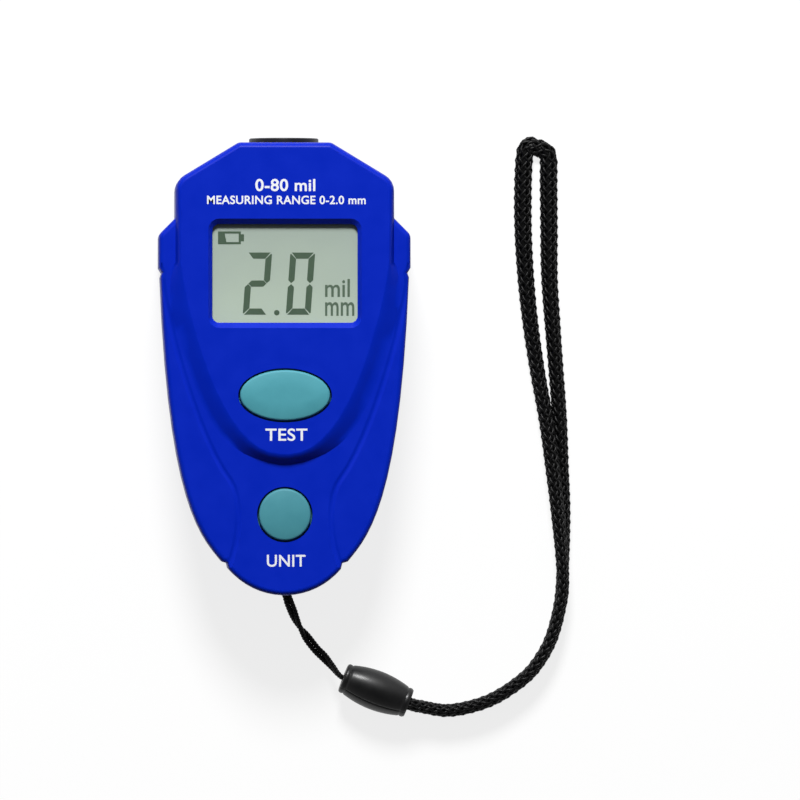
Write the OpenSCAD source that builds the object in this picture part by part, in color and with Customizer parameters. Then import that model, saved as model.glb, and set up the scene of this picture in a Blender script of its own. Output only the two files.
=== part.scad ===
// Pocket coating thickness gauge lying on its back, with its wrist lanyard laid beside it.
// Millimetres. +Z comes out of the display, +Y points to the probe, z = 0 is the table.

/* [Case] */
// Length of the moulded case without the probe
body_len = 102; // [100:1:108]
// Width over the two ears
ear_w = 56.7; // [55:0.1:60]
// Width over the finger grips at their upper end
grip_w = 56; // [54:0.5:58]
// Width of the head above the ears
head_w = 49.2; // [48:0.1:51]
// Width of the flat edge that the probe comes out of
top_flat_w = 20.8; // [20.8:0.2:23]
// Height of the sloping shoulders below the top edge
shoulder_drop = 8.6; // [7:0.1:10]
// Distance from the top edge to the start of the ears
ear_drop = 17; // [15:0.5:18]
// Distance from the top edge to the notch under each ear
notch_drop = 29.4; // [27:0.1:32]
// Radius of the rounded tip
tip_r = 16.5; // [16:0.1:17.5]
// Height of the deck that carries the grips
deck_z = 23; // [22.6:0.1:24]
// Step from the deck up to the raised face
face_step = 2; // [1.6:0.1:2.4]
// Height of the joint between the two covers, also the probe axis
split_z = 12.5; // [12.2:0.1:12.8]
// Wall thickness of both covers
wall = 2; // [1.7:0.1:2.3]
// Rounding of the deck edge
deck_edge = 1.2; // [0.6:0.1:1.5]
// Width of the rounding from the head's sides to its flat face
face_edge = 1.3; // [0.8:0.1:1.8]
// How far the flanks beside the keys spread over the deck
flank_reach = 3; // [1:0.1:4]
// Rounding of the back edge
back_edge = 1.6; // [0.8:0.1:1.9]
// Width of the grooves that bound the grips
groove_w = 1.8; // [1.2:0.1:2.2]
// Depth of the grooves that bound the grips
groove_deep = 0.4; // [0.3:0.05:0.6]

/* [Display] */
// Width of the window opening
window_w = 32.7; // [30:0.1:33.5]
// Height of the window opening
window_h = 22.2; // [20:0.1:23.5]
// Distance from the top edge to the window centre
window_drop = 29.5; // [29:0.1:30.5]
// Width of the sloping frame above and below the window
window_bevel = 1.2; // [0.8:0.1:1.8]
// Width of the sloping frame beside the window
window_cheek = 0.9; // [0.5:0.1:1.5]
// Thickness of the lip in front of the window pane
window_lip = 1.2; // [1:0.1:1.4]
// Thickness of the window pane
pane_t = 0.7; // [0.7:0.1:1]
// Width of the pane edge glued behind the lip
pane_seat = 1.2; // [0.8:0.1:1.4]
// Thickness of the liquid crystal glass
glass_t = 2.6; // [2.2:0.1:2.8]

/* [Keys] */
// Width of the oval test key
test_w = 20.3; // [18:0.1:21]
// Height of the oval test key
test_h = 11.4; // [9:0.1:12]
// Diameter of the round unit key
unit_d = 11.7; // [10:0.1:12]
// Distance from the tip to the unit key centre
unit_up = 18.2; // [17.6:0.1:19]
// Gap round each key
key_gap = 0.4; // [0.3:0.05:0.6]
// Height of a key rim above the face round it
key_rise = 0.5; // [0.3:0.1:0.8]
// How far a key goes down
key_travel = 0.6; // [0.4:0.1:0.8]

/* [Board] */
// Height of the underside of the circuit board
board_z = 15.5; // [15.3:0.1:15.7]
// Thickness of the circuit board
board_t = 1.6; // [1.2:0.1:1.6]
// Size of a tact switch body
switch_w = 6; // [5:0.5:6.5]

/* [Probe] */
// Diameter of the probe sleeve
probe_d = 15.7; // [14:0.1:16.4]
// How far the probe stands out of the top edge
probe_out = 1.1; // [0.6:0.1:2]
// Length of the sleeve inside the case
probe_in = 10; // [9:0.5:10.5]
// Diameter of the ferrite core
core_d = 4.2; // [3:0.1:5]

/* [Batteries] */
// Diameter of a cell
cell_d = 10.5; // [10.3:0.1:10.7]
// Length of a cell with its button
cell_len = 44.5; // [44:0.1:45]
// Length of a cell spring as squeezed by its cell
spring_len = 4.5; // [3.5:0.1:5]
// Thickness of the battery door
door_t = 1.7; // [1.4:0.1:1.8]
// Gap round the battery door
door_gap = 0.25; // [0.2:0.05:0.4]
// Diameter of the moulded hinge pins
pin_d = 1.6; // [1.2:0.1:1.8]

/* [Fastenings] */
// Shank diameter of the case screws
screw_d = 2.5; // [2:0.1:2.8]
// Head diameter of the case screws
head_d = 4.6; // [4:0.1:4.8]
// Outer diameter of the screw bosses
boss_d = 5.6; // [5.2:0.1:6]

/* [Lanyard] */
// Diameter of the thin cord
cord_d = 1; // [0.8:0.1:1.2]
// Diameter of the braided strap
strap_d = 3; // [2.8:0.1:3]
// Diameter of the clamp bead
bead_d = 9; // [8.8:0.1:9.4]
// Length of the clamp bead
bead_len = 16; // [15:0.5:17]
// Diameter of the post that holds the thin cord
post_d = 1.8; // [1.4:0.1:2.2]

/* [Hidden] */
$fn = 40;
eps = 0.05;
fit = 0.2;
run = 0.05;
touch = 0.1;

// Case positions
tip_y = -(body_len + probe_out) / 2;
top_y = tip_y + body_len;
ear_y = top_y - ear_drop;
notch_y = top_y - notch_drop;
face_z = deck_z + face_step;
ear_half = ear_w / 2;
head_half = head_w / 2;
ear_slope = ear_half - head_half;
grip_top = notch_y - 1;
grip_len = grip_top - tip_y - 7.6;
tip_turn = 50;
tip_c = [0, tip_y + tip_r];
face_y = notch_y + 2.4;
deck_ceiling = deck_z - wall;
face_ceiling = face_z - wall;
lip_t = 0.8;
lip_h = 1.2;
lip_in = 0.4;

// Display positions
window_y = top_y - window_drop;
pane_w = window_w + 2 * pane_seat;
pane_h = window_h + 2 * pane_seat;
pane_top = face_z - window_lip;
pane_z = pane_top - pane_t;
glass_w = pane_w + 1.6;
glass_h = pane_h + 2.4;
glass_top = pane_z - touch;
glass_z = glass_top - glass_t;
holder_t = 1;
holder_w = glass_w + 2 * fit + 2 * holder_t;
holder_h = glass_h + 2 * fit + 2 * holder_t;
holder_top = glass_top;
peg_d = 1.6;

// Key positions
unit_y = tip_y + unit_up;
test_y = (window_y + unit_y) / 2 - 0.3;
foot_len = face_y - (test_y + unit_y) / 2 + 2.2;
crown_len = foot_len - 1.2;
flange_t = 1;
flange_w = 0.8;
key_play = 0.15;
key_post = 0.4;
button_out = key_travel + 0.4;
button_d = 3.4;

// Board positions
board_top = board_z + board_t;
board_half = 20.5;
board_up = window_y + holder_h / 2 - 0.8;
board_low = unit_y - switch_w / 2 - 0.7;
board_screw_d = 1.8;
board_boss_d = 4.2;
board_fix_up = [14.8, window_y - holder_h / 2 - 2.6];
board_fix_low = [11.2, unit_y + 6.3];

// Probe positions
probe_r = probe_d / 2;
probe_face = top_y + probe_out;
probe_back = top_y - probe_in;
collar_t = 2;
collar_y = top_y - wall - lip_in - touch;
rib_t = 1.2;
rib_y = collar_y - collar_t - touch - rib_t;
sleeve_bore = probe_r - 1.3;
spool_up = probe_face - 1.3;
spool_low = probe_back + 0.6;

// Battery positions
lower_fix = [9.5, tip_y + 10.5];
door_z = 0.2;
door_top = door_z + door_t;
ledge_z = door_top + touch;
ledge_t = 1.2;
cell_z = door_top + fit + cell_d / 2;
cell_x = cell_d / 2 + fit;
room_half = cell_d + fit + 0.3;
room_top = cell_z + cell_d / 2 + 0.3;
plate_t = 0.4;
plate_half = 0.4 * cell_d;
room_len = cell_len + spring_len + 2 * plate_t + 2 * touch;
room_low = lower_fix[1] + 10.9;
room_up = room_low + room_len;
room_wall = 1.2;
knuckle_r = door_t - 0.1;
hinge_z = door_z + knuckle_r;
hinge_y = room_up + room_wall + knuckle_r + 0.5;
door_half = room_half + 2.5;
door_low = room_low - room_wall - 1.5;
pin_len = 1.6;

// Screw positions
upper_fix = [17.5, window_y + holder_h / 2 + boss_d / 2 + 0.5];
fixes = [
    upper_fix,
    [-upper_fix[0], upper_fix[1]],
    lower_fix,
    [-lower_fix[0], lower_fix[1]]
];
board_fixes = [
    board_fix_up,
    [-board_fix_up[0], board_fix_up[1]],
    board_fix_low,
    [-board_fix_low[0], board_fix_low[1]]
];
head_h = 1.6;
head_seat = 4;
screw_len = 15;

// Lanyard positions
slot_half = post_d / 2 + cord_d + 1.2;
slot_z = 3.4;
slot_h = cord_d + 1.7;
slot_deep = 5.4;
post_y = tip_y + 2.3;
bead_c = [21.1, tip_y - 21.9, bead_d / 2 + 0.05];
bead_turn = -21.5;
seam_turn = -48;

// Outline helpers: a half outline runs down the right side, a ring is the half and its mirror

function arc(c, r, a0, a1, n) =
    [for (i = [0:n]) let (a = a0 + (a1 - a0) * i / n) c + r * [cos(a), sin(a)]];

function curve(p, n) = [
    for (i = [0:n])
        let (t = i / n, s = 1 - t)
            s * s * s * p[0] + 3 * t * s * s * p[1] + 3 * t * t * s * p[2] + t * t * t * p[3]
];

function rounded(a, b, c, r, n) =
    let (
        u = (a - b) / norm(a - b),
        v = (c - b) / norm(c - b),
        h = acos(u * v) / 2,
        m = b + (u + v) / norm(u + v) * r / sin(h),
        p = b + u * r / tan(h) - m,
        q = b + v * r / tan(h) - m
    )
    [for (i = [0:n]) let (w = p * (1 - i / n) + q * i / n) m + w / norm(w) * r];

function ring(half) =
    concat(half, [for (i = [len(half) - 1:-1:0]) [-half[i][0], half[i][1]]]);

function inset(r, d) =
    let (n = len(r))
    [
        for (i = [0:n - 1])
            let (
                u = r[i] - r[(i + n - 1) % n],
                v = r[(i + 1) % n] - r[i],
                a = [u[1], -u[0]] / norm(u),
                b = [v[1], -v[0]] / norm(v)
            )
            r[i] + d * (a + b) / (1 + a * b)
    ];

function box_half(w, h, r, y) = concat(
    rounded([0, y + h / 2], [w / 2, y + h / 2], [w / 2, y - h / 2], r, 4),
    rounded([w / 2, y + h / 2], [w / 2, y - h / 2], [0, y - h / 2], r, 4)
);

function oval_half(w, h, y, n) =
    [for (i = [0:n]) let (a = 90 - (i + 0.5) * 180 / (n + 1)) [w / 2 * cos(a), y + h / 2 * sin(a)]];

// A solid through rings of equal length, given as [ring, height] from the bottom up
module loft(layers) {
    n = len(layers[0][0]);
    m = n / 2;
    last = (len(layers) - 1) * n;
    polyhedron(
        [for (l = layers) for (p = l[0]) [p[0], p[1], l[1]]],
        concat(
            [for (i = [0:m - 2]) [n - 1 - i, n - 2 - i, i + 1, i]],
            [
                for (k = [0:len(layers) - 2])
                    for (i = [0:n - 1])
                        let (j = (i + 1) % n, a = k * n, b = a + n)
                            each [[a + i, a + j, b + j], [a + i, b + j, b + i]]
            ],
            [for (i = [0:m - 2]) [last + i, last + i + 1, last + n - 2 - i, last + n - 1 - i]]
        )
    );
}

module prism(half, z0, z1) {
    translate([0, 0, z0])
        linear_extrude(z1 - z0)
            polygon(ring(half));
}

module block(x0, x1, y0, y1, z0, z1) {
    translate([x0, y0, z0])
        cube([x1 - x0, y1 - y0, z1 - z0]);
}

module post(p, d, z0, z1) {
    translate([p[0], p[1], z0])
        cylinder(d = d, h = z1 - z0);
}

// A turned solid along Y at the probe axis, from [radius, y] points
module turned(profile) {
    translate([0, 0, split_z])
        rotate([-90, 0, 0])
            rotate_extrude()
                polygon(profile);
}

// A round tube of n sides along points that never run along the up direction
module tube(path, d, n, up = [0, 0, 1]) {
    m = len(path);
    polyhedron(
        [
            for (i = [0:m - 1])
                let (
                    g = path[min(i + 1, m - 1)] - path[max(i - 1, 0)],
                    t = g / norm(g),
                    s = cross(t, up) / norm(cross(t, up)),
                    u = cross(s, t)
                )
                for (k = [0:n - 1])
                    path[i] + d / 2 * (cos(360 * k / n) * s + sin(360 * k / n) * u)
        ],
        concat(
            [[for (k = [0:n - 1]) k]],
            [
                for (i = [0:m - 2])
                    for (k = [0:n - 1])
                        let (a = i * n + k, b = i * n + (k + 1) % n)
                            each [[a, a + n, b + n], [a, b + n, b]]
            ],
            [[for (k = [n - 1:-1:0]) (m - 1) * n + k]]
        )
    );
}

// Smooth path through points, with n steps from one to the next
function through(p, n) = concat(
    [
        for (i = [0:len(p) - 2])
            let (
                a = p[max(i - 1, 0)],
                b = p[i],
                c = p[i + 1],
                d = p[min(i + 2, len(p) - 1)]
            )
            for (k = [0:n - 1])
                let (t = k / n)
                    b + (c - a) / 2 * t + (2 * a - 5 * b + 4 * c - d) / 2 * t * t
                        + (3 * b - a - 3 * c + d) / 2 * t * t * t
    ],
    [p[len(p) - 1]]
);

// Case outlines

function on_grip(fx, fy) = [fx * grip_w / 2, grip_top - fy * grip_len];

grip_side = curve([on_grip(1, 0), on_grip(0.93, 0.8), on_grip(0.666, 0.916), on_grip(0.507, 1)], 14);
tip_side = arc(tip_c, tip_r, tip_turn - 90, -88, 8);
top_corner = [top_flat_w / 2, top_y];
shoulder = [head_half, top_y - shoulder_drop];
ear_start = [head_half, ear_y];
ear_corner = [ear_half, ear_y - ear_slope];
ear_end = [ear_half, notch_y + 1.2];
ear_notch = [grip_w / 2 - 0.35, notch_y];
tip_notch = [grip_side[14][0] - 1.2, grip_side[14][1] - 0.35];

head_side = concat(
    rounded([0, top_y], top_corner, shoulder, 2, 3),
    rounded(top_corner, shoulder, ear_start, 4, 4)
);
lower_side = concat(
    rounded(ear_start, ear_corner, ear_end, 2, 3),
    [ear_end, ear_notch],
    grip_side,
    [tip_notch],
    tip_side
);
case_half = concat(head_side, [ear_start], lower_side);
deck_half = concat([ear_start + [-2.6, 2.6]], lower_side);
plain_half = concat([top_corner, shoulder, ear_start, ear_corner], grip_side, tip_side);

// The raised face: the whole head, closed by a deep curve between the grips
function face_half(head, len) = concat(head, [
    for (i = [0:16])
        let (a = 88.5 * i / 16)
            [head_half * pow(cos(a), 0.87), face_y - len * pow(sin(a), 1.613)]
]);

function turned_edge(r, edge, z) =
    [for (a = [0:22.5:90]) [inset(r, edge * (1 - cos(a))), z - edge * (1 - sin(a))]];

function inner(d) = inset(ring(plain_half), d);

function face_room(d) = inset(ring(face_half([top_corner, shoulder], crown_len)), wall + 0.3 + d);

groove_upper = [on_grip(1.01, -0.05), on_grip(0.961, 0.165), on_grip(0.688, 0.574), on_grip(0.443, 0.7125)];
groove_lower = [on_grip(0.443, 0.7125), on_grip(0.35, 0.766), on_grip(0.343, 0.923), on_grip(0.47, 1.03)];
groove_end = curve(groove_lower, 8);
groove_path = concat(curve(groove_upper, 12), [for (i = [1:8]) groove_end[i]]);

module groove() {
    n = len(groove_path);
    top = 0.3;
    quarter = groove_w / 4;
    half = 2 * quarter + top * quarter / (0.75 * groove_deep);
    trough = [
        [-half, top],
        [half, top],
        [quarter, -0.75 * groove_deep],
        [0, -groove_deep],
        [-quarter, -0.75 * groove_deep]
    ];
    polyhedron(
        [
            for (i = [0:n - 1])
                let (
                    g = groove_path[min(i + 1, n - 1)] - groove_path[max(i - 1, 0)],
                    s = [g[1], -g[0]] / norm(g),
                    p = groove_path[i]
                )
                for (t = trough)
                    [p[0] + t[0] * s[0], p[1] + t[0] * s[1], deck_z + t[1]]
        ],
        concat(
            [[0, 1, 2, 3, 4]],
            [
                for (i = [0:n - 2])
                    for (k = [0:4])
                        let (a = 5 * i + k, b = 5 * i + (k + 1) % 5)
                            each [[a, a + 5, b + 5], [a, b + 5, b]]
            ],
            [[for (k = [1:5]) 5 * n - k]]
        )
    );
}

// Covers

module front_shell() {
    deck = ring(deck_half);
    foot = ring(face_half(head_side, foot_len));
    crown = inset(ring(face_half(head_side, crown_len)), face_edge);
    n = len(foot);
    head = len(head_side);
    slope = [[0, 0], [0.24, 0.34], [0.46, 0.64], [0.62, 0.81], [0.78, 0.92], [0.9, 0.975], [1, 1]];
    loft(concat([[deck, split_z]], turned_edge(deck, deck_edge, deck_z)));
    loft(concat(
        [[foot, split_z]],
        [
            for (p = slope)
                let (bend = 1 - sqrt(1 - p[1] * p[1]))
                    [
                        [
                            for (i = [0:n - 1])
                                let (
                                    t = i < head || i >= n - head ? bend : p[0],
                                    k = min(i, n - 1 - i) - head,
                                    out = flank_reach * max(0, min(1, k / 4, (14.5 - k) / 4)),
                                    away = (foot[i] - crown[i]) / norm(foot[i] - crown[i])
                                )
                                    foot[i] * (1 - t) + crown[i] * t + away * out * (1 - p[1])
                        ],
                        deck_z + face_step * p[1]
                    ]
        ]
    ));
}

module front_room() {
    translate([0, 0, split_z - 1])
        linear_extrude(deck_ceiling - split_z + 1)
            polygon(inner(wall));
    translate([0, 0, split_z])
        linear_extrude(face_ceiling - split_z)
            polygon(face_room(0));
    translate([0, 0, split_z - 1])
        linear_extrude(1 + lip_h + fit)
            polygon(inner(wall - lip_t - 0.15));
}

module window_cut() {
    deep = window_lip - 0.2;
    rise = 0.2;
    grow = 2 * [window_cheek, window_bevel] * (deep + rise) / deep;
    loft([
        [ring(box_half(window_w, window_h, 1.5, window_y)), face_z - deep],
        [ring(box_half(window_w + grow[0], window_h + grow[1], 1.5 + grow[0] / 2, window_y)), face_z + rise]
    ]);
    prism(box_half(window_w, window_h, 1.5, window_y), pane_top - 1, face_z - deep + eps);
    prism(box_half(pane_w + 2 * fit, pane_h + 2 * fit, 1, window_y), face_ceiling - 1, pane_top);
}

// Height of the inner face of the front cover above a point
function ceiling(p) = p[1] > test_y ? face_ceiling : deck_ceiling;

module probe_bore(d) {
    translate([0, probe_back - 1, split_z])
        rotate([-90, 0, 0])
            cylinder(d = d, h = probe_in + probe_out + 3);
}

module front_cover() {
    color("royalblue")
    difference() {
        union() {
            difference() {
                front_shell();
                front_room();
            }
            for (p = fixes)
                post(p, boss_d, split_z, ceiling(p) + 0.6);
            for (p = board_fixes)
                post(p, board_boss_d, board_top, ceiling(p) + 0.6);
            block(-10.5, 10.5, rib_y, rib_y + rib_t, split_z, face_ceiling + 0.5);
        }
        window_cut();
        prism(oval_half(test_w + 2 * key_gap, test_h + 2 * key_gap, test_y, 23),
            face_ceiling - 1, face_z + 1);
        post([0, unit_y], unit_d + 2 * key_gap, deck_ceiling - 1, deck_z + 1);
        groove();
        mirror([1, 0, 0])
            groove();
        probe_bore(probe_d + 2 * touch);
        for (p = fixes)
            post(p, screw_d + 2 * run, split_z - 1, head_seat + screw_len + 0.6);
        for (p = board_fixes)
            post(p, board_screw_d + 2 * run, board_top - 1, board_top + 3.4);
    }
}

module battery_room() {
    block(-room_half, room_half, room_low, room_up, door_z, room_top);
    block(cell_x - 1.2, cell_x + 1.2, room_up - 1, room_up, room_top - 1, room_top + 3);
    block(-cell_x - 1.2, 1.2 - cell_x, room_up - 1, room_up, room_top - 1, room_top + 3);
}

module rear_shell() {
    case_ring = ring(case_half);
    loft(concat(
        [for (a = [90:-22.5:0]) [inset(case_ring, back_edge * (1 - cos(a))), back_edge * (1 - sin(a))]],
        [[case_ring, split_z]]
    ));
}

module rear_cover() {
    hinge_half = door_half + door_gap;
    color("royalblue")
    difference() {
        union() {
            difference() {
                rear_shell();
                translate([0, 0, wall])
                    linear_extrude(split_z)
                        polygon(inner(wall));
            }
            translate([0, 0, split_z - 1.5])
                linear_extrude(1.5 + lip_h)
                    difference() {
                        polygon(inner(wall - lip_t));
                        polygon(inner(wall + lip_in));
                    }
            block(-room_half - room_wall, room_half + room_wall, room_low - room_wall, room_up + room_wall,
                ledge_z, room_top + room_wall);
            block(-hinge_half - 1.6, hinge_half + 1.6, door_low - 2, room_up + room_wall,
                ledge_z, ledge_z + ledge_t);
            for (s = [-1, 1])
                block(s * (hinge_half + 1.4) - 1.4, s * (hinge_half + 1.4) + 1.4,
                    hinge_y - 2.6, hinge_y + 2.6, wall - 0.5, hinge_z + 2.4);
            for (p = fixes)
                post(p, boss_d + 0.8, wall - 0.5, split_z);
            block(-10.5, 10.5, rib_y, rib_y + rib_t, wall - 0.5, split_z);
            block(-slot_half - 1.4, slot_half + 1.4, tip_y + 1, tip_y + slot_deep + 1.4,
                wall - 0.5, slot_z + slot_h + 1.4);
        }
        battery_room();
        block(-hinge_half, hinge_half, door_low - door_gap, hinge_y + knuckle_r + 0.3, -1, ledge_z);
        translate([-hinge_half, hinge_y, hinge_z])
            rotate([0, 90, 0])
                cylinder(r = knuckle_r + 0.3, h = 2 * hinge_half);
        translate([-hinge_half - pin_len - 0.2, hinge_y, hinge_z])
            rotate([0, 90, 0])
                cylinder(d = pin_d + 2 * run, h = 2 * hinge_half + 2 * pin_len + 0.4);
        translate([0, door_low - 1.5, -9.4])
            sphere(r = 10.5, $fn = 64);
        for (p = fixes) {
            post(p, head_d + 0.8, -1, head_seat);
            post(p, screw_d + 2 * run, -1, split_z + 1);
        }
        probe_bore(probe_d + 2 * touch);
        difference() {
            block(-slot_half, slot_half, tip_y - 1, tip_y + slot_deep, slot_z, slot_z + slot_h);
            post([0, post_y], post_d, slot_z - 1, slot_z + slot_h + 1);
        }
    }
}

module battery_door() {
    color("royalblue")
    difference() {
        union() {
            block(-door_half, door_half, door_low, hinge_y, door_z, door_top);
            translate([-door_half, hinge_y, hinge_z])
                rotate([0, 90, 0])
                    cylinder(r = knuckle_r, h = 2 * door_half);
            translate([-door_half - door_gap - pin_len, hinge_y, hinge_z])
                rotate([0, 90, 0])
                    cylinder(d = pin_d, h = 2 * (door_half + door_gap + pin_len));
        }
        for (i = [0:3])
            block(-7, 7, door_low + 4 + 2.2 * i, door_low + 5 + 2.2 * i, -1, door_z + 0.5);
        translate([0, door_low - 1.5, -9.4])
            sphere(r = 10.5, $fn = 64);
    }
}

// Display

module display_window() {
    color("whitesmoke", 0.4)
    prism(box_half(pane_w, pane_h, 1, window_y), pane_z, pane_top);
}

module lcd_panel() {
    color("darkseagreen")
    prism(box_half(glass_w, glass_h, 0.3, window_y), glass_z, glass_top);
}

module lcd_holder() {
    color("dimgray")
    union() {
        difference() {
            union() {
                prism(box_half(holder_w, holder_h, 1, window_y), board_top, deck_ceiling - fit);
                translate([0, 0, board_top])
                    linear_extrude(holder_top - board_top)
                        intersection() {
                            polygon(ring(box_half(holder_w, holder_h, 1, window_y)));
                            polygon(face_room(fit));
                        }
            }
            prism(box_half(glass_w + 2 * fit, glass_h + 2 * fit, 0.4, window_y),
                board_top - 1, glass_top + 1);
        }
        for (x = [-1, 1])
            for (y = [-1, 1])
                post([x * (holder_w / 2 - 1.2), window_y + y * 5], peg_d, board_z - 0.6, board_top + 0.4);
    }
}

module zebra_strips() {
    color("black")
    for (y = [-1, 1])
        translate([-glass_w / 2 + 2, window_y + y * (glass_h / 2 - 1.6) - 0.9, board_top])
            cube([glass_w - 4, 1.8, glass_z - board_top]);
}

// Board

module circuit_board() {
    low = [11, board_low];
    color("darkgreen")
    difference() {
        prism([[board_half, board_up], [board_half, test_y + 3], low], board_z, board_top);
        for (p = board_fixes)
            post(p, board_screw_d + 2 * fit, board_z - 1, board_top + 1);
        for (x = [-1, 1])
            for (y = [-1, 1])
                post([x * (holder_w / 2 - 1.2), window_y + y * 5], peg_d + 2 * touch,
                    board_z - 1, board_top + 1);
    }
}

module controller_chip() {
    color("black")
    union() {
        block(-5, 5, window_y - 5, window_y + 5, board_top, board_top + 1.5);
        for (i = [-3:3]) {
            x = 1.2 * i;
            y = window_y + x;
            block(-6.2, 6.2, y - 0.25, y + 0.25, board_top, board_top + 0.1);
            block(x - 0.25, x + 0.25, window_y - 6.2, window_y + 6.2, board_top, board_top + 0.1);
        }
    }
}

module amplifier_chip() {
    x = -14.5;
    y = test_y - 3;
    color("black")
    union() {
        block(x - 2, x + 2, y - 2.5, y + 2.5, board_top + 0.1, board_top + 1.5);
        for (i = [-1.5:1.5])
            block(x - 3, x + 3, y + 1.27 * i - 0.2, y + 1.27 * i + 0.2, board_top, board_top + 0.4);
    }
}

module smoothing_capacitor() {
    color("slateblue")
    post([16.6, board_up - 5], 6.3, board_z - 5.4, board_z);
}

module crystal_can() {
    color("silver")
    block(-19, -13.2, board_up - 7.6, board_up - 4, board_z - 3.4, board_z);
}

module tact_switch(y, z) {
    difference() {
        block(-switch_w / 2, switch_w / 2, y - switch_w / 2, y + switch_w / 2, board_top, z);
        post([0, y], button_d + 0.6, z - key_travel - 0.2, z + 1);
    }
}

module tact_plunger(y, z) {
    post([0, y], button_d, z - 0.15, z + button_out);
}

test_low = face_ceiling - key_play - flange_t;
unit_low = deck_ceiling - key_play - flange_t;
test_body = test_low - key_post - button_out;
unit_body = unit_low - key_post - button_out;

module test_switch() {
    color("dimgray")
    tact_switch(test_y, test_body);
}

module test_plunger() {
    color("black")
    tact_plunger(test_y, test_body);
}

module unit_switch() {
    color("dimgray")
    tact_switch(unit_y, unit_body);
}

module unit_plunger() {
    color("black")
    tact_plunger(unit_y, unit_body);
}

module test_key() {
    function o(d) = ring(oval_half(test_w + 2 * d, test_h + 2 * d, test_y, 23));
    rim = face_z + key_rise;
    color("cadetblue")
    union() {
        loft([
            [o(flange_w + key_gap), test_low],
            [o(flange_w + key_gap), test_low + flange_t],
            [o(0), test_low + flange_t + 0.01],
            [o(0), rim - 0.5],
            [o(-0.15), rim - 0.15],
            [o(-0.5), rim],
            [o(-2.2), rim + 0.25],
            [o(-4), rim + 0.36]
        ]);
        post([0, test_y], 4, test_low - key_post, test_low + 0.5);
    }
}

module unit_key() {
    r = unit_d / 2;
    rim = deck_z + key_rise;
    color("cadetblue")
    translate([0, unit_y, 0])
        rotate_extrude()
            polygon([
                [0, unit_low - key_post],
                [2, unit_low - key_post],
                [2, unit_low],
                [r + key_gap + flange_w, unit_low],
                [r + key_gap + flange_w, unit_low + flange_t],
                [r, unit_low + flange_t],
                [r, rim - 0.5],
                [r - 0.15, rim - 0.15],
                [r - 0.5, rim],
                [r - 2.2, rim + 0.25],
                [r - 4, rim + 0.36],
                [0, rim + 0.4]
            ]);
}

// Probe

module probe_sleeve() {
    color("black")
    turned([
        [core_d / 2 + touch, probe_face],
        [probe_r - 0.25, probe_face],
        [probe_r - 0.08, probe_face - 0.08],
        [probe_r, probe_face - 0.25],
        [probe_r, collar_y],
        [probe_r + 1.4, collar_y],
        [probe_r + 1.4, collar_y - collar_t],
        [probe_r, collar_y - collar_t],
        [probe_r, probe_back],
        [sleeve_bore, probe_back],
        [sleeve_bore, spool_up + touch],
        [core_d / 2 + touch, spool_up + touch]
    ]);
}

module probe_core() {
    color("dimgray")
    turned([[0, probe_face], [core_d / 2, probe_face], [core_d / 2, spool_low], [0, spool_low]]);
}

module probe_bobbin() {
    tube_r = core_d / 2 + 0.8;
    color("ivory")
    turned([
        [core_d / 2 + touch, spool_up],
        [sleeve_bore - touch, spool_up],
        [sleeve_bore - touch, spool_up - 1],
        [tube_r, spool_up - 1],
        [tube_r, spool_low + 1],
        [sleeve_bore - touch, spool_low + 1],
        [sleeve_bore - touch, spool_low],
        [core_d / 2 + touch, spool_low]
    ]);
}

module probe_coil() {
    tube_r = core_d / 2 + 0.85;
    color("chocolate")
    turned([
        [tube_r, spool_up - 1.1],
        [sleeve_bore - 1, spool_up - 1.1],
        [sleeve_bore - 1, spool_low + 1.1],
        [tube_r, spool_low + 1.1]
    ]);
}

module probe_leads() {
    color("firebrick")
    for (s = [-1, 1])
        tube(through([
            [s * 4, spool_low, split_z + 1.5],
            [s * 4.2, spool_low - 2, split_z + 1.3],
            [s * 4.6, (spool_low + board_up) / 2, split_z + 1.2],
            [s * 4.8, board_up - 0.6, split_z + 1.9],
            [s * 5, board_up - 2.4, board_z - 0.6]
        ], 3), 0.9, 6);
}

// Batteries

// A cell from its flat end at y, with its button turned up or down the case
module cell(x, y, turn) {
    r = cell_d / 2;
    button_r = 0.18 * cell_d;
    translate([x, y, cell_z])
        rotate([turn, 0, 0])
            rotate_extrude()
                polygon([
                    [0, 0],
                    [r - 0.6, 0],
                    [r, 0.6],
                    [r, cell_len - 1.6],
                    [r - 0.6, cell_len - 1],
                    [button_r, cell_len - 1],
                    [button_r, cell_len],
                    [0, cell_len]
                ]);
}

module cell_left() {
    color("orange")
    cell(-cell_x, room_up - plate_t - touch - cell_len, -90);
}

module cell_right() {
    color("orange")
    cell(cell_x, room_low + plate_t + touch + cell_len, 90);
}

module end_plate(x) {
    block(x - plate_half, x + plate_half, room_up - plate_t, room_up, ledge_z + 1, room_top - 0.4);
    block(x - 1, x + 1, room_up - plate_t, room_up, room_top - 1, board_z);
}

module positive_contact() {
    color("silver")
    end_plate(-cell_x);
}

module negative_contact() {
    color("silver")
    end_plate(cell_x);
}

module cell_bridge() {
    color("silver")
    block(-cell_x - plate_half, cell_x + plate_half, room_low, room_low + plate_t,
        ledge_z + 1, room_top - 0.4);
}

module cell_spring(x, y, s) {
    wire = 0.6;
    long = spring_len - wire - 2 * touch;
    tube([
        for (i = [0:40])
            let (a = 360 * 3.5 * i / 40, r = 3.6 - 1.3 * i / 40)
                [x + r * cos(a), y + s * (wire / 2 + touch / 2 + long * i / 40), cell_z + r * sin(a)]
    ], wire, 6, [0, 1, 0]);
}

module cell_spring_left() {
    color("silver")
    cell_spring(-cell_x, room_low + plate_t, 1);
}

module cell_spring_right() {
    color("silver")
    cell_spring(cell_x, room_up - plate_t, -1);
}

// Screws

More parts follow.
